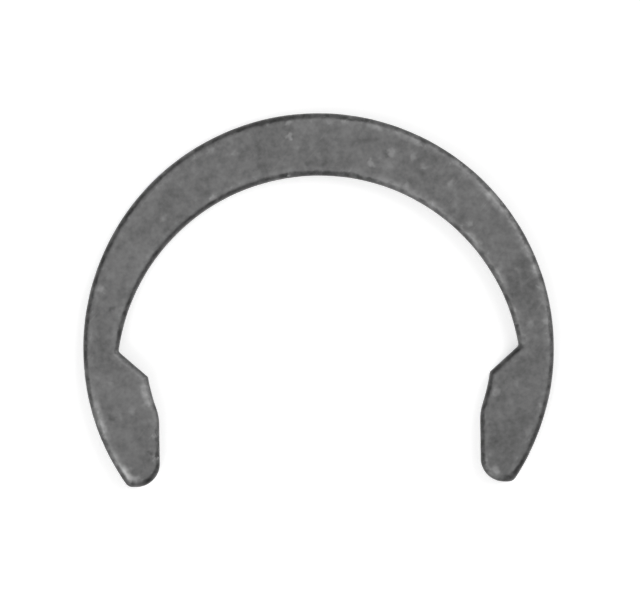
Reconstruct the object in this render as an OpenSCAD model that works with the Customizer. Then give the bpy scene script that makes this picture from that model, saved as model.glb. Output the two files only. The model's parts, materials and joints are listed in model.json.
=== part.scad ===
// C-clip: a retaining ring that is pushed sideways onto a shaft and snaps into a groove there.
// It is stamped from flat spring-steel strip. The back and the two prongs bear on the floor of
// the groove, and the inner edge stands clear between them so that the arms can spring open.
// The shaft axis is Z, the mouth opens towards -Y and the lower face lies on Z = 0.

/* [Fit on the shaft] */
// Diameter of the circle that the back and both prongs bear on
seat_d = 8.33; // [6:0.01:12]
// How far each prong closes in past that circle at the mouth
grip = 0.3; // [0.12:0.01:0.5]
// Angle below the cross diameter where each prong begins to bear
bearing_start = 8.6; // [5:0.1:15]

/* [Ring] */
// Thickness of the strip
thick = 0.635; // [0.4:0.005:1.2]
// Radial width at the middle of the back
back_w = 1.505; // [1.2:0.005:2.5]
// Radial width of each arm at its notch
waist_w = 0.85; // [0.5:0.01:1.2]

/* [Prong ends] */
// Distance from the cross diameter to the flat prong ends
prong_reach = 3.27; // [2.6:0.01:3.8]
// Radius of the inner corner of each prong end, where the prong is wide enough for it
tip_r = 0.57; // [0.2:0.01:0.6]
// Radius of the outer corner of each prong end
corner_r = 0.2; // [0.15:0.01:0.4]

/* [Edges] */
// Radius of the die roll round the upper face
roll_r = 0.1; // [0.04:0.01:0.14]
// Radius of the tumbled edge round the lower face
break_r = 0.05; // [0.02:0.01:0.14]

/* [Hidden] */
$fn = 96;

seat_r = seat_d / 2;
outer_r = seat_r + back_w;
mouth_half = seat_r - grip;

// Inner arc: it touches the bearing circle at the back and ends at the notches
notch = [outer_r - waist_w, 0];
inner_drop = (notch.x ^ 2 - seat_r ^ 2) / seat_d;
inner_r = seat_r + inner_drop;

// Ramp: it leads from each notch in to the corner where the prong begins to bear
bearing_corner = seat_r * [cos(bearing_start), -sin(bearing_start)];
ramp = notch - bearing_corner;
ramp_angle = atan2(ramp.y, ramp.x);

// Outer corner of a prong end: its round meets both sides at a slight edge
corner_edge = 10;
corner_in = corner_r * cos(corner_edge);
corner_y = corner_in - prong_reach;
corner_x = sqrt((outer_r - corner_in) ^ 2 - corner_y ^ 2);
corner_turn = 90 + atan2(corner_y, corner_x);

// Inner corner of a prong end: a short flat is left between the two corners
least_flat = 0.05;
inner_tip_r = min(tip_r, corner_x - mouth_half - least_flat);
tip_x = mouth_half + inner_tip_r;
tip_y = inner_tip_r - prong_reach;

// Reach of the cuts beyond the faces and beyond the outer edge
over = 1;
past = 2 * outer_r;
edge = max(roll_r, break_r);

module quarter_disc(r) {
    intersection() {
        circle(r);
        square(r);
    }
}

// Section of the strip from 0 out to w, with its rounded edge at w
module rim_section(w) {
    translate([0, break_r]) square([w, thick - break_r - roll_r]);
    square([w - break_r, break_r]);
    translate([w - break_r, break_r]) rotate(-90) quarter_disc(break_r);
    translate([0, thick - roll_r]) square([w - roll_r, roll_r]);
    translate([w - roll_r, thick - roll_r]) quarter_disc(roll_r);
}

// Section of a cut from 0 out to w, which leaves a rounded edge on the strip beyond w
module cut_section(w) {
    difference() {
        translate([0, -over]) square([w + edge, thick + 2 * over]);
        translate([w + 2 * edge, 0]) mirror([1, 0]) rim_section(2 * edge);
    }
}

module straight_cut(w, length) {
    rotate([90, 0, 0]) linear_extrude(length) cut_section(w);
}

module round_cut(r, angle = 360) {
    rotate_extrude(angle = angle) cut_section(r);
}

// Cut that goes round the outside of a corner of radius r
module corner_cut(r, angle) {
    rotate_extrude(angle = angle) translate([r + outer_r, 0]) mirror([1, 0]) cut_section(outer_r);
}

// All that lies on the shaft's side of the ramp at +X
module ramp_cut() {
    translate(bearing_corner) rotate(ramp_angle - 90) translate([-past, past, 0]) straight_cut(past, 2 * past);
}

// Space behind the shaft, between the back and the two ramps
module crescent_cut() {
    intersection() {
        translate([0, -inner_drop, 0]) round_cut(inner_r);
        ramp_cut();
        mirror([1, 0, 0]) ramp_cut();
    }
}

// Mouth side, inner corner, flat end and outer corner of the prong at +X
module prong_cut() {
    translate([0, bearing_corner.y, 0]) straight_cut(mouth_half, bearing_corner.y - tip_y);
    translate([tip_x, tip_y, 0]) rotate(180) corner_cut(inner_tip_r, 90);
    translate([tip_x, -prong_reach - past, 0]) rotate(90) straight_cut(past, past);
    translate([corner_x, corner_y, 0]) rotate(-90) corner_cut(corner_r, corner_turn);
}

module clip() {
    color("dimgray") difference() {
        rotate_extrude() rim_section(outer_r);
        crescent_cut();
        rotate(180) round_cut(seat_r, 180);
        prong_cut();
        mirror([1, 0, 0]) prong_cut();
    }
}

clip();
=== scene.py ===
import json
import math

import bpy
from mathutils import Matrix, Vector


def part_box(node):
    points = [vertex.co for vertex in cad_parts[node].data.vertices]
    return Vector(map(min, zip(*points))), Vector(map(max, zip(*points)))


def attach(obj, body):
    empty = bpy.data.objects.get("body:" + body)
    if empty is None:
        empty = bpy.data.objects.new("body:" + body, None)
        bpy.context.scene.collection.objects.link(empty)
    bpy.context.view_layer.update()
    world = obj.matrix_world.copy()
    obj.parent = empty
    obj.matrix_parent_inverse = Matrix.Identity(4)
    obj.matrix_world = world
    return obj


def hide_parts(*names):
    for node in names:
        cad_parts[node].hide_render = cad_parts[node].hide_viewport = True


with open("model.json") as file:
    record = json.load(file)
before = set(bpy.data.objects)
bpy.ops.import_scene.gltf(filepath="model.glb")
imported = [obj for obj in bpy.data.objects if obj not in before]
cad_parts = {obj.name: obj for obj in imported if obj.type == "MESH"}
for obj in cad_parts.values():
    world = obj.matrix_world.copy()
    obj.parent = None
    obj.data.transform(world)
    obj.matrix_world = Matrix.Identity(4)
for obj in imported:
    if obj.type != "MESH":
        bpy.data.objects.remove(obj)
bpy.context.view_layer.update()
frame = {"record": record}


# Clip
# One ring stamped from flat spring-steel strip, then hardened, tumbled and phosphated to a dull
# dark grey. The press leaves a die roll round the upper face, a burnished band below it and a
# rougher fractured band above the lower face. It is held on its shaft only by its own spring.
MM = 0.001
low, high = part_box("clip")
shaft_seat = next(m for m in frame["record"]["mounts"] if m["name"] == "shaft_seat")
seat_r = shaft_seat["dims"]["r_mm"] * MM
outer_r = high.x
thick = high.z - low.z
prong_reach = -low.y
waist_w = 0.85 * MM
grip = 0.3 * MM
bearing_start = math.radians(8.6)
notch_r = 0.1 * MM
bearing_r = 0.105 * MM
bend_r = 1.2 * MM
tip_r = 0.57 * MM
corner_r = 0.2 * MM
roll_width = 0.21 * MM
roll_depth = 0.1 * MM
edge_break = 0.05 * MM

shaft = Vector((0, 0))
notch = Vector((outer_r - waist_w, 0))
inner_centre = Vector((0, (seat_r ** 2 - notch.x ** 2) / (2 * seat_r)))
inner_r = seat_r - inner_centre.y
bearing = seat_r * Vector((math.cos(bearing_start), -math.sin(bearing_start)))
ramp = (notch - bearing).normalized()
to_shaft = Vector((-ramp.y, ramp.x))
mouth = seat_r - grip
tip_at = Vector((mouth + tip_r, tip_r - prong_reach))
quarter_turn = math.pi / 2

# points along the stretches of half the edge, and lines round the edge on each part of its section
inside_points = 290
outside_points = 510
side_points = 40
corner_points = 14
roll_lines = 14
wall_lines = 14
break_lines = 7


def angle_of(vector):
    return math.atan2(vector.y, vector.x)


def on_circle(centre, radius, angle):
    return centre + radius * Vector((math.cos(angle), math.sin(angle)))


def arc(centre, radius, start, end, points):
    return [on_circle(centre, radius, start + (end - start) * i / points) for i in range(points)]


def straight(start, end, points):
    return [start.lerp(end, i / points) for i in range(points)]


def reach_circle(point, direction, centre, radius):
    """The last point along a line that lies on a circle."""
    start = point - centre
    along = start.dot(direction)
    step = -along + math.sqrt(along ** 2 - start.length_squared + radius ** 2)
    return point + step * direction


def half_edge(inset):
    """The right half of the clip's edge moved in by inset: points from inside its back to outside it."""
    notch_at = reach_circle(bearing + notch_r * to_shaft, ramp, inner_centre, inner_r - notch_r)
    notch_from = angle_of(notch_at - inner_centre)
    bearing_turn = max(bearing_r, inset)
    bearing_at = reach_circle(bearing - bearing_turn * to_shaft, ramp, shaft, seat_r + bearing_turn)
    bearing_from = angle_of(bearing_at)
    bend_x = mouth + bend_r
    bend_at = Vector((bend_x, -math.sqrt((seat_r + bend_r) ** 2 - bend_x ** 2)))
    bend_from = angle_of(bend_at)
    corner_turn = max(corner_r, inset)
    corner_y = corner_turn - prong_reach
    corner_at = Vector((math.sqrt((outer_r - corner_turn) ** 2 - corner_y ** 2), corner_y))
    corner_end = angle_of(corner_at)
    ramp_head = notch_at - (notch_r + inset) * to_shaft
    ramp_foot = bearing_at + (bearing_turn - inset) * to_shaft
    side_head = bend_at - Vector((bend_r - inset, 0))
    side_foot = tip_at - Vector((tip_r - inset, 0))
    end_head = tip_at - Vector((0, tip_r - inset))
    end_foot = corner_at - Vector((0, corner_turn - inset))
    bearing_head = angle_of(to_shaft)
    bearing_foot = math.pi + bearing_from
    edge = arc(inner_centre, inner_r + inset, quarter_turn, notch_from, inside_points)
    edge += arc(notch_at, notch_r + inset, notch_from, angle_of(-to_shaft), corner_points)
    edge += straight(ramp_head, ramp_foot, side_points)
    edge += arc(bearing_at, bearing_turn - inset, bearing_head, bearing_foot, corner_points)
    edge += arc(shaft, seat_r + inset, bearing_from, bend_from, side_points)
    edge += arc(bend_at, bend_r - inset, math.pi + bend_from, math.pi, corner_points)
    edge += straight(side_head, side_foot, side_points)
    edge += arc(tip_at, tip_r - inset, math.pi, math.pi + quarter_turn, side_points)
    edge += straight(end_head, end_foot, corner_points)
    edge += arc(corner_at, corner_turn - inset, -quarter_turn, corner_end, corner_points)
    edge += arc(shaft, outer_r - inset, corner_end, quarter_turn, outside_points)
    return edge + [Vector((0, outer_r - inset))]


def edge_section():
    """Inset and height of each line round the edge: over the die roll, down the wall, under it."""
    section = []
    wall_top = thick - roll_depth
    for i in range(roll_lines):
        turn = quarter_turn * i / roll_lines
        section.append((roll_width * (1 - math.sin(turn)), wall_top + roll_depth * math.cos(turn)))
    for i in range(wall_lines):
        section.append((0.0, wall_top + (edge_break - wall_top) * i / wall_lines))
    for i in range(break_lines + 1):
        turn = quarter_turn * i / break_lines
        section.append((edge_break * (1 - math.cos(turn)), edge_break * (1 - math.sin(turn))))
    return section


def edge_lines(name):
    curve = bpy.data.curves.new(name, "CURVE")
    curve.dimensions = "3D"
    for inset, height in edge_section():
        right = half_edge(inset)
        left = [Vector((-p.x, p.y)) for p in reversed(right[1:-1])]
        spline = curve.splines.new("POLY")
        spline.points.add(len(right + left) - 1)
        spline.points.foreach_set("co", [v for p in right + left for v in (p.x, p.y, height, 1)])
        spline.use_cyclic_u = True
    return bpy.data.objects.new(name, curve)


def add_node(tree, kind, settings=None, **sockets):
    """Adds a node. A socket is given by its name, with _ for a space, as a value or as what feeds it."""
    made = tree.nodes.new(kind)
    for key, value in (settings or {}).items():
        setattr(made, key, value)
    for name, value in sockets.items():
        socket = next(s for s in made.inputs if s.name == name.replace("_", " ") and s.enabled)
        if isinstance(value, bpy.types.NodeSocket):
            tree.links.new(value, socket)
        else:
            socket.default_value = value
    return next(s for s in made.outputs if s.enabled)


def math_node(tree, operation, first, second=0.0, kind="ShaderNodeMath"):
    made = tree.nodes.new(kind)
    made.operation = operation
    for socket, value in zip(made.inputs, (first, second)):
        if isinstance(value, bpy.types.NodeSocket):
            tree.links.new(value, socket)
        else:
            socket.default_value = value
    return next(s for s in made.outputs if s.enabled)


# the ragged border between the burnished and the fractured band, alike in the mesh and in the finish
seed = 4.0
noise_middle = 0.5
fracture_height = 0.45 * thick
ragged_size = 0.4 * MM
ragged_detail = 4.0
ragged_reach = 0.5 * MM
border_start = -0.05 * MM
border_end = 0.07 * MM

# the wear of the mesh: how large its patterns are, how deep they go, and where they fade out
drift_size = 1.1 * MM
drift_detail = 4.0
drift_depth = 0.02 * MM
tear_size = 0.045 * MM
tear_detail = 3.0
tear_depth = 0.03 * MM
nick_size = 0.29 * MM
nick_detail = 1.0
nick_depth = 0.03 * MM
nick_range = (0.66, 0.76)
nick_foot = 0.5 * thick
nick_head = 0.2 * thick
whole_foot = 2.0 * edge_break
whole_head = 0.4 * roll_depth
seam_gap = 1e-7
face_gap = 2e-7


def stamped_edge_tree():
    """Skins the lines round a stamped edge, wears and tears its wall, and closes it with two flat faces."""
    tree = bpy.data.node_groups.new("Stamped edge", "GeometryNodeTree")
    ports = tree.interface
    ports.new_socket("Edge Lines", in_out="INPUT", socket_type="NodeSocketGeometry")
    for name in ("Thickness", "Whole Foot", "Whole Head", "Fracture Height"):
        ports.new_socket(name, in_out="INPUT", socket_type="NodeSocketFloat")
    for name in ("Tear Depth", "Nick Foot", "Nick Head", "Nick Depth", "Drift Depth", "Seed"):
        ports.new_socket(name, in_out="INPUT", socket_type="NodeSocketFloat")
    ports.new_socket("Steel", in_out="INPUT", socket_type="NodeSocketMaterial")
    ports.new_socket("Clip", in_out="OUTPUT", socket_type="NodeSocketGeometry")
    given = tree.nodes.new("NodeGroupInput").outputs
    source = given["Edge Lines"]

    def add(kind, settings=None, **sockets):
        return add_node(tree, kind, settings, **sockets)

    def calc(operation, first, second=0.0):
        return math_node(tree, operation, first, second)

    def noise(size, detail):
        four = {"noise_dimensions": "4D"}
        return add("ShaderNodeTexNoise", four, W=given["Seed"], Scale=1 / size, Detail=detail)

    def swing(size, detail, reach):
        return calc("MULTIPLY", calc("SUBTRACT", noise(size, detail), noise_middle), reach)

    def step(value, start, end):
        smooth = {"interpolation_type": "SMOOTHSTEP"}
        return add("ShaderNodeMapRange", smooth, Value=value, From_Min=start, From_Max=end)

    # the skin: a grid with a row for each line, whose last column lies on its first
    counts = add("GeometryNodeAttributeDomainSize", {"component": "CURVE"}, Geometry=source).node.outputs
    lines = counts["Spline Count"]
    points = calc("DIVIDE", counts["Point Count"], lines)
    columns = calc("ADD", points, 1.0)
    index = add("GeometryNodeInputIndex")
    place = add("GeometryNodeInputPosition")
    row = calc("FLOOR", calc("DIVIDE", index, columns))
    column = calc("MODULO", calc("MODULO", index, columns), points)
    point = calc("ADD", calc("MULTIPLY", row, points), column)
    vectors = {"data_type": "FLOAT_VECTOR"}
    spot = add("GeometryNodeSampleIndex", vectors, Geometry=source, Value=place, Index=point)
    grid = add("GeometryNodeMeshGrid", Vertices_X=lines, Vertices_Y=columns)
    skin = add("GeometryNodeSetPosition", Geometry=grid, Position=spot)
    skin = add("GeometryNodeMergeByDistance", Geometry=skin, Distance=seam_gap)

    # its wear: a slight drift of the edge, a torn fractured band and small nicks in the rolled edge
    height = add("ShaderNodeSeparateXYZ", Vector=place).node.outputs["Z"]
    from_top = calc("SUBTRACT", given["Thickness"], height)
    above = step(height, 0.0, given["Whole Foot"])
    below = step(from_top, 0.0, given["Whole Head"])
    drift = swing(drift_size, drift_detail, given["Drift Depth"])
    drift = calc("MULTIPLY", drift, calc("MULTIPLY", above, below))
    border = calc("ADD", given["Fracture Height"], swing(ragged_size, ragged_detail, ragged_reach))
    into = step(calc("SUBTRACT", border, height), border_start, border_end)
    torn = calc("MULTIPLY", noise(tear_size, tear_detail), given["Tear Depth"])
    torn = calc("MULTIPLY", calc("MULTIPLY", into, above), torn)
    nicked = calc("MULTIPLY", step(noise(nick_size, nick_detail), *nick_range), given["Nick Depth"])
    upper = step(from_top, given["Nick Foot"], given["Nick Head"])
    nicked = calc("MULTIPLY", calc("MULTIPLY", upper, below), nicked)
    outward = calc("SUBTRACT", drift, calc("ADD", torn, nicked))
    normal = add("GeometryNodeInputNormal")
    move = add("ShaderNodeVectorMath", {"operation": "SCALE"}, Vector=normal, Scale=outward)
    skin = add("GeometryNodeSetPosition", Geometry=skin, Offset=move)

    # the two flat faces, inside the first and the last line
    parts = [add("GeometryNodeSetShadeSmooth", Geometry=skin, Shade_Smooth=True)]
    same = {"data_type": "INT", "operation": "EQUAL"}
    for number, level in ((0, given["Thickness"]), (calc("SUBTRACT", lines, 1.0), 0.0)):
        chosen = add("FunctionNodeCompare", same, A=index, B=number)
        by_line = {"domain": "CURVE"}
        line = add("GeometryNodeSeparateGeometry", by_line, Geometry=source, Selection=chosen)
        flat = add("GeometryNodeFillCurve", {"mode": "TRIANGLES"}, Curve=line)
        flat = add("GeometryNodeSetShadeSmooth", Geometry=flat, Shade_Smooth=False)
        lift = add("ShaderNodeCombineXYZ", Z=level)
        parts.append(add("GeometryNodeTransform", Geometry=flat, Translation=lift))
    parts[-1] = add("GeometryNodeFlipFaces", Mesh=parts[-1])
    whole = tree.nodes.new("GeometryNodeJoinGeometry")
    for part in parts:
        tree.links.new(part, whole.inputs[0])
    closed = add("GeometryNodeMergeByDistance", Geometry=whole.outputs[0], Distance=face_gap)
    real = add("GeometryNodeRealizeInstances", Geometry=closed)
    finished = add("GeometryNodeSetMaterial", Geometry=real, Material=given["Steel"])
    tree.links.new(finished, tree.nodes.new("NodeGroupOutput").inputs["Clip"])
    return tree


# where the edge has a painted highlight: place and size in mm, and how bright its shoulder and its rim are
# painted
highlight_spots = [
    ((-5.3, -1.5), 0.5, 0.9, 0.6),
    ((-5.22, -1.8), 0.24, 1.0, 0.8),
    ((-4.93, -2.4), 0.4, 0.45, 0.2),
    ((-4.65, -2.93), 0.4, 1.5, 0.0),
    ((-4.35, -3.2), 0.35, 0.3, 0.5),
    ((-3.9, -1.9), 0.6, 0.15, 0.6),
    ((-4.19, -1.03), 0.38, 1.0, 0.9),
    ((-4.48, -0.31), 0.35, 0.15, 0.35),
    ((-2.83, 4.91), 0.7, 0.1, 0.55),
    ((-1.15, 4.03), 0.6, 0.1, 0.55),
    ((0.0, 4.2), 1.4, 0.1, 0.3),
    ((1.42, 5.3), 0.35, 0.6, 0.4),
    ((2.34, 4.97), 0.35, 0.5, 0.3),
    ((4.25, 3.5), 0.5, 0.9, 0.8),
    ((4.69, 2.92), 0.3, 0.4, 0.5),
    ((5.23, 1.8), 0.25, 0.8, 0.7),
    ((5.36, 1.2), 0.5, 0.25, 0.8),
    ((5.5, -0.9), 1.0, 0.15, 0.45),
    ((3.8, 2.6), 0.35, 0.5, 0.3),
    ((4.45, 1.65), 0.45, 0.5, 0.2),
]
# where the dark rim, in part painted shade, is wider: place and size in mm, and by how many mm
wide_rims = [
    ((0.0, 5.67), 3.0, 0.03),
    ((4.45, -3.27), 0.7, 0.05),
    ((-4.45, -3.27), 0.7, 0.05),
]
# where its face is duller: place and size in mm, and share of the tone
dull_spots = [
    ((4.6, -2.2), 2.2, 0.9),
    ((-4.6, -2.2), 2.2, 0.95),
]
# single pale specks and dark pits in its face: place and size in mm, and change of tone
marks = [
    ((-0.62, 5.12), 0.12, 0.12),
    ((-0.66, 5.44), 0.1, 0.08),
    ((0.35, 5.45), 0.1, 0.05),
    ((1.32, 4.46), 0.13, 0.1),
    ((1.85, 4.68), 0.15, 0.08),
    ((1.8, 4.4), 0.2, 0.03),
    ((2.18, 3.9), 0.13, 0.06),
    ((2.6, 4.34), 0.13, 0.07),
    ((2.36, 4.6), 0.13, 0.055),
    ((-3.7, 3.2), 0.13, 0.05),
    ((-1.95, 4.73), 0.13, 0.05),
    ((-2.5, 4.83), 0.12, 0.05),
    ((5.1, 0.5), 0.14, 0.055),
    ((4.27, -1.1), 0.14, 0.065),
    ((5.0, -2.1), 0.13, 0.055),
    ((4.22, -2.97), 0.16, 0.09),
    ((-5.23, 1.5), 0.14, 0.08),
    ((-4.95, 1.02), 0.12, -0.045),
    ((-5.03, -1.6), 0.15, -0.06),
    ((1.68, 4.65), 0.14, -0.05),
    ((-4.1, -2.47), 0.1, -0.05),
]
# they lie on the upper face: a point below spot_floor counts as further off by spot_fall times that
spot_core = 0.2
spot_floor = 0.6 * thick
spot_fall = 10.0

# the finish of the edge, with painted shade on its rim and painted highlights on its shoulder: where a
# pattern starts and ends, and the least and most that it gives
highlight_size = 1.25 * MM
highlight_pattern = {"start": 0.4, "end": 0.65, "least": 0.1, "most": 0.25}
highlight_gain = 0.17
gap_size = 0.22 * MM
gaps = {"start": 0.3, "end": 0.65, "least": 0.5, "most": 1.1}
glint_size = 0.15 * MM
glint_dashes = {"start": 0.6, "end": 0.75, "most": 0.3}
rim_edge_size = 0.14 * MM
rim_edge_detail = 3.0
rim_edge_reach = 0.1 * MM
rim_fall = {"start": 0.13 * MM, "end": 0.07 * MM}
rim_crest = {"start": 0.0, "end": 0.05 * MM, "least": 0.4}
rim_stain_and_shade_size = 0.18 * MM
rim_stain_and_shade_detail = 3.0
rim_stain_and_shade_range = {"start": 0.3, "end": 0.7, "least": 0.18, "most": 0.6}
rim_stain_and_shade_kept = {"start": 0.15, "end": 0.6, "least": 1.0, "most": 0.1}
shoulder_rise = {"start": 0.07 * MM, "end": 0.14 * MM}
shoulder_fall = {"start": 0.29 * MM, "end": 0.15 * MM}

# the finish of the face
metal_share = 0.9
plain_detail = 2.0
cloud_size = 1.1 * MM
cloud_tone = 0.11
mottle_size = 0.3 * MM
mottle_detail = 4.0
mottle_tone = 0.105
fleck_size = 0.11 * MM
fleck_tone = 0.09
ground_tone = 0.0065
cluster_size = 0.9 * MM
cluster_detail = 0.0
clusters = {"start": 0.4, "end": 0.62, "least": 0.4}
ruffle_size = 0.13 * MM
ruffle_detail = 1.0
ruffle_reach = 0.18 * MM
speck_gap = 0.37 * MM
speck_turn = math.radians(-120)
speck_tones = {"start": 0.1, "end": 1.0, "most": 0.095}
speck_shape = {"start": 0.36, "end": 0.0}
hair_size = 0.08 * MM
hair_detail = 1.0
hair_turn = math.radians(-50)
hair_stretch = (0.1, 1, 1)
hairlines = {"start": 0.62, "end": 0.76, "most": 0.02}
roughness = {"start": 0.3, "end": 0.7, "least": 0.5, "most": 0.42}
rim_polish = 0.04
grain_size = 0.08 * MM
grain_detail = 3.0
grain_height = 0.0015 * MM

# the finish of the wall
wall_slope = {"start": 0.6, "end": 0.2}
drawn_size = 0.06 * MM
drawn_stretch = (1, 1, 0.06)
drawn_tones = {"start": 0.3, "end": 0.7, "least": -0.1, "most": 0.2}
fracture_dark = 0.15
fracture_rough = 0.15


def phosphated_steel():
    """Dull dark grey phosphate over steel: mottled, dark on the sheared rim (darker phosphate and painted
    shade), with a painted highlight on the shoulder inside it.
    """
    steel = bpy.data.materials.new("phosphated spring steel")
    steel.use_nodes = True
    tree = steel.node_tree
    shader = tree.nodes["Principled BSDF"]
    shader.inputs["Metallic"].default_value = metal_share
    place = tree.nodes.new("ShaderNodeTexCoord").outputs["Object"]
    facing = tree.nodes.new("ShaderNodeNewGeometry").outputs["True Normal"]

    def add(kind, settings=None, **sockets):
        return add_node(tree, kind, settings, **sockets)

    def calc(operation, first, second=0.0):
        return math_node(tree, operation, first, second)

    def vector(operation, first, second=(0, 0, 0)):
        return math_node(tree, operation, first, second, "ShaderNodeVectorMath")

    def noise(size, detail=plain_detail, where=place):
        return add("ShaderNodeTexNoise", Vector=where, Scale=1 / size, Detail=detail)

    def span(value, start, end, least=0.0, most=1.0):
        smooth = {"interpolation_type": "SMOOTHSTEP"}
        bounds = {"From_Min": start, "From_Max": end, "To_Min": least, "To_Max": most}
        return add("ShaderNodeMapRange", smooth, Value=value, **bounds)

    # distance in from the clip's edge, on the outline folded over at its middle
    whole = add("ShaderNodeSeparateXYZ", Vector=place).node.outputs
    folded = add("ShaderNodeCombineXYZ", X=calc("ABSOLUTE", whole["X"]), Y=whole["Y"], Z=0.0)
    from_shaft = vector("LENGTH", folded)
    from_arc = calc("SUBTRACT", vector("DISTANCE", folded, (*inner_centre, 0)), inner_r)
    from_ramp = vector("DOT_PRODUCT", vector("SUBTRACT", folded, (*bearing, 0)), (*-to_shaft, 0))
    past_tip = vector("MAXIMUM", vector("SUBTRACT", (*tip_at, 0), folded))
    from_prong = calc("MAXIMUM", calc("SUBTRACT", tip_r, vector("LENGTH", past_tip)), whole["Y"])
    depth = calc("MINIMUM", calc("SUBTRACT", outer_r, from_shaft), calc("SUBTRACT", from_shaft, seat_r))
    depth = calc("MINIMUM", depth, calc("MAXIMUM", from_arc, from_ramp))
    depth = calc("MINIMUM", depth, from_prong)

    # a dark rolled rim of uneven width, partly darker phosphate and partly painted shade, and a painted
    # highlight on the paler shoulder inside it
    below = calc("MAXIMUM", calc("SUBTRACT", spot_floor, whole["Z"]), 0.0)
    further = calc("MULTIPLY", below, spot_fall)
    on_face = add("ShaderNodeCombineXYZ", X=whole["X"], Y=whole["Y"], Z=further)

    def around(spot, size, middle, far=0.0, where=on_face):
        centre = (spot[0] * MM, spot[1] * MM, 0)
        reach = size * MM
        return span(vector("DISTANCE", where, centre), reach, spot_core * reach, far, middle)

    # painted highlight on the shoulder and painted light on the rim, strongest at the listed spots
    shoulder_highlight = span(noise(highlight_size), **highlight_pattern)
    rim_highlight = shoulder_highlight
    for spot, size, shoulder_painted_light, rim_painted_light in highlight_spots:
        shoulder_highlight = calc("MAXIMUM", shoulder_highlight, around(spot, size, shoulder_painted_light))
        rim_highlight = calc("MAXIMUM", rim_highlight, around(spot, size, rim_painted_light))
    broken = span(noise(gap_size), **gaps)
    # small painted glints along the edge, on the shoulder and the rim
    glints = span(noise(glint_size), **glint_dashes)
    shoulder_highlight = calc("ADD", calc("MULTIPLY", shoulder_highlight, broken), glints)
    rim_highlight = calc("ADD", calc("MULTIPLY", rim_highlight, broken), glints)
    uneven = calc("SUBTRACT", noise(rim_edge_size, rim_edge_detail), noise_middle)
    uneven = calc("MULTIPLY", uneven, rim_edge_reach)
    for spot, size, wider in wide_rims:
        uneven = calc("SUBTRACT", uneven, around(spot, size, wider * MM))
    # the dark rim: partly darker phosphate on the sheared edge, partly painted shade, weaker where the rim
    # has painted light
    rim = calc("MULTIPLY", span(calc("ADD", depth, uneven), **rim_fall), span(depth, **rim_crest))
    rim_stain_and_shade = calc("MULTIPLY", span(noise(rim_stain_and_shade_size, rim_stain_and_shade_detail), **rim_stain_and_shade_range), span(rim_highlight, **rim_stain_and_shade_kept))
    shoulder = calc("MULTIPLY", span(depth, **shoulder_rise), span(depth, **shoulder_fall))

    # even grey with a faint mottle, two duller prongs, clusters of pale specks, hairlines and single marks
    mottle = noise(mottle_size, mottle_detail)
    tone = calc("MULTIPLY", noise(cloud_size), cloud_tone)
    tone = calc("ADD", tone, calc("MULTIPLY", mottle, mottle_tone))
    tone = calc("ADD", tone, calc("MULTIPLY", noise(fleck_size), fleck_tone))
    tone = calc("ADD", tone, ground_tone)
    for spot, size, share in dull_spots:
        tone = calc("MULTIPLY", tone, around(spot, size, share, far=1.0))
    ruffle = noise(ruffle_size, ruffle_detail).node.outputs["Color"]
    ruffle = vector("SUBTRACT", ruffle, (noise_middle, noise_middle, noise_middle))
    ruffle = vector("MULTIPLY", ruffle, (ruffle_reach, ruffle_reach, 0.0))
    ruffled = vector("ADD", place, ruffle)
    about_z = {"rotation_type": "Z_AXIS"}
    strewn = add("ShaderNodeVectorRotate", about_z, Vector=ruffled, Angle=speck_turn)
    cells = add("ShaderNodeTexVoronoi", Vector=strewn, Scale=1 / speck_gap).node.outputs
    pale = span(add("ShaderNodeSeparateColor", Color=cells["Color"]), **speck_tones)
    specks = calc("MULTIPLY", span(cells["Distance"], **speck_shape), pale)
    turned = add("ShaderNodeVectorRotate", about_z, Vector=place, Angle=hair_turn)
    hairs = noise(hair_size, hair_detail, vector("MULTIPLY", turned, hair_stretch))
    specks = calc("ADD", specks, span(hairs, **hairlines))
    crowded = span(noise(cluster_size, cluster_detail, strewn), **clusters)
    tone = calc("ADD", tone, calc("MULTIPLY", specks, crowded))
    ragged_face = vector("ADD", on_face, ruffle)
    for spot, size, change in marks:
        tone = calc("ADD", tone, around(spot, size, change, where=ragged_face))
    # darkens the rim: darker phosphate and painted shade
    tone = calc("MULTIPLY", tone, calc("SUBTRACT", 1.0, calc("MULTIPLY", rim, rim_stain_and_shade)))
    # adds the painted highlight on the shoulder
    tone = calc("ADD", tone, calc("MULTIPLY", calc("MULTIPLY", shoulder, shoulder_highlight), highlight_gain))

    # the wall: drawn lines on its burnished band, and a darker, rougher fractured band below
    four = {"noise_dimensions": "4D"}
    pattern = {"W": seed, "Scale": 1 / ragged_size, "Detail": ragged_detail}
    ragged = add("ShaderNodeTexNoise", four, Vector=place, **pattern)
    ragged = calc("MULTIPLY", calc("SUBTRACT", ragged, noise_middle), ragged_reach)
    into = calc("SUBTRACT", calc("ADD", ragged, fracture_height), whole["Z"])
    slope = calc("ABSOLUTE", add("ShaderNodeSeparateXYZ", Vector=facing).node.outputs["Z"])
    upright = span(slope, **wall_slope)
    fracture = calc("MULTIPLY", span(into, border_start, border_end), upright)
    drawn = span(noise(drawn_size, where=vector("MULTIPLY", place, drawn_stretch)), **drawn_tones)
    drawn = calc("MULTIPLY", calc("SUBTRACT", upright, fracture), drawn)
    shade = calc("SUBTRACT", calc("ADD", drawn, 1.0), calc("MULTIPLY", fracture, fracture_dark))
    tone = calc("MULTIPLY", tone, shade)
    grey = add("ShaderNodeCombineColor", Red=tone, Green=tone, Blue=tone)
    rough = calc("SUBTRACT", span(mottle, **roughness), calc("MULTIPLY", rim, rim_polish))
    rough = calc("ADD", rough, calc("MULTIPLY", fracture, fracture_rough))
    grain = calc("MULTIPLY", noise(grain_size, grain_detail), grain_height)
    bump = add("ShaderNodeBump", Strength=1.0, Distance=1.0, Height=grain)
    tree.links.new(grey, shader.inputs["Base Color"])
    tree.links.new(rough, shader.inputs["Roughness"])
    tree.links.new(bump, shader.inputs["Normal"])
    return steel


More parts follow.
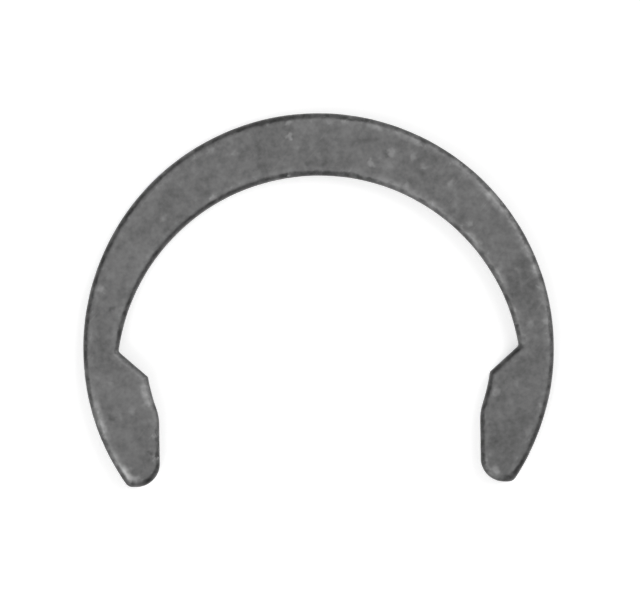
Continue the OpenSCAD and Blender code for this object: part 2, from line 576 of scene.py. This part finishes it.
def plain_mesh(source, name):
    """The evaluated form of an object as a new object with a plain mesh."""
    graph = bpy.context.evaluated_depsgraph_get()
    mesh = bpy.data.meshes.new_from_object(source.evaluated_get(graph))
    bpy.data.objects.remove(source)
    mesh.name = name
    made = bpy.data.objects.new(name, mesh)
    bpy.context.scene.collection.objects.link(made)
    return made


lines = edge_lines("clip_edge_lines")
bpy.context.scene.collection.objects.link(lines)
stamping = lines.modifiers.new("stamped edge", "NODES")
stamping.node_group = stamped_edge_tree()
stamping_inputs = {
    "Thickness": thick,
    "Whole Foot": whole_foot,
    "Whole Head": whole_head,
    "Fracture Height": fracture_height,
    "Tear Depth": tear_depth,
    "Nick Foot": nick_foot,
    "Nick Head": nick_head,
    "Nick Depth": nick_depth,
    "Drift Depth": drift_depth,
    "Seed": seed,
    "Steel": phosphated_steel(),
}
for socket in stamping.node_group.interface.items_tree:
    if socket.name in stamping_inputs:
        stamping[socket.identifier] = stamping_inputs[socket.name]
clip = plain_mesh(lines, "clip_steel")
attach(clip, "root")
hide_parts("clip")


# Floor
# A plain white light table, wide enough to fill every view. It is a smooth matt board that glows
# evenly from within, so the clip throws hardly any shadow on it.
half_floor = 1.5
floor_gap = 0.01 * MM
floor_z = low.z - floor_gap
board_white = 0.9
board_roughness = 0.9
board_shine = 0.0
board_glow = 0.4
white = (1, 1, 1, 1)
corners = [(x * half_floor, y * half_floor, floor_z) for x, y in ((-1, -1), (1, -1), (1, 1), (-1, 1))]
floor_mesh = bpy.data.meshes.new("floor")
floor_mesh.from_pydata(corners, [], [(0, 1, 2, 3)])
floor = bpy.data.objects.new("floor", floor_mesh)
bpy.context.scene.collection.objects.link(floor)
board = bpy.data.materials.new("white light table")
board.use_nodes = True
board_shader = board.node_tree.nodes["Principled BSDF"]
board_shader.inputs["Base Color"].default_value = (board_white, board_white, board_white, 1)
board_shader.inputs["Roughness"].default_value = board_roughness
board_shader.inputs["Specular IOR Level"].default_value = board_shine
board_shader.inputs["Emission Color"].default_value = white
board_shader.inputs["Emission Strength"].default_value = board_glow
floor_mesh.materials.append(board)


# Light
# Soft studio light: a disc overhead and two soft boxes on one diagonal, in a dim room. The room's
# pale walls are brightest low down and fade into a dark ceiling.
wall_rise = 0.15
ceiling_rise = 0.75
wall_light = 1.0
ceiling_light = 0.15
lamp_distance = 0.6
world = bpy.data.worlds.new("dim room")
bpy.context.scene.world = world
world.use_nodes = True
room = world.node_tree.nodes["Background"]
room.inputs["Color"].default_value = white
outlook = world.node_tree.nodes.new("ShaderNodeTexCoord").outputs["Generated"]
rise = add_node(world.node_tree, "ShaderNodeSeparateXYZ", Vector=outlook).node.outputs["Z"]
walls = add_node(world.node_tree, "ShaderNodeMapRange", Value=rise, From_Min=wall_rise,
                 From_Max=ceiling_rise, To_Min=wall_light, To_Max=ceiling_light)
world.node_tree.links.new(walls, room.inputs["Strength"])
bpy.context.scene.view_settings.view_transform = "Standard"


def soft_box(name, azimuth, from_top, width, height, radiance):
    """A soft box that faces the clip, given by its direction, its size and how bright its surface is."""
    light = bpy.data.lights.new(name, "AREA")
    light.shape = "ELLIPSE"
    light.size = width
    light.size_y = height
    area = math.pi * (width / 2) * (height / 2)
    light.energy = radiance * math.pi * area
    box = bpy.data.objects.new(name, light)
    turn = math.radians(azimuth)
    tilt = math.radians(from_top)
    level = math.sin(tilt) * Vector((math.cos(turn), math.sin(turn), 0))
    box.location = lamp_distance * (level + Vector((0, 0, math.cos(tilt))))
    box.rotation_euler = box.location.to_track_quat("Z", "Y").to_euler()
    bpy.context.scene.collection.objects.link(box)


soft_box("overhead disc", azimuth=0, from_top=0, width=0.5, height=0.5, radiance=0.87)
soft_box("soft box at the back", azimuth=34, from_top=42, width=0.5, height=0.45, radiance=2.6)
soft_box("soft box at the front", azimuth=222, from_top=42, width=0.45, height=0.45, radiance=2.6)


# Camera
# Straight above the clip, on a long lens that shows almost no perspective. It is turned a little,
# so that the clip leans as it does in the photo.
view_width = 15.41 * MM
view_centre = Vector((0.05 * MM, 1.0 * MM))
lean = math.radians(0.87)
camera_height = 0.3
lens = bpy.data.cameras.new("camera")
lens.lens = lens.sensor_width * camera_height / view_width
camera = bpy.data.objects.new("camera", lens)
camera.location = (*view_centre, high.z + camera_height)
camera.rotation_euler = (0, 0, -lean)
bpy.context.scene.collection.objects.link(camera)
bpy.context.scene.camera = camera
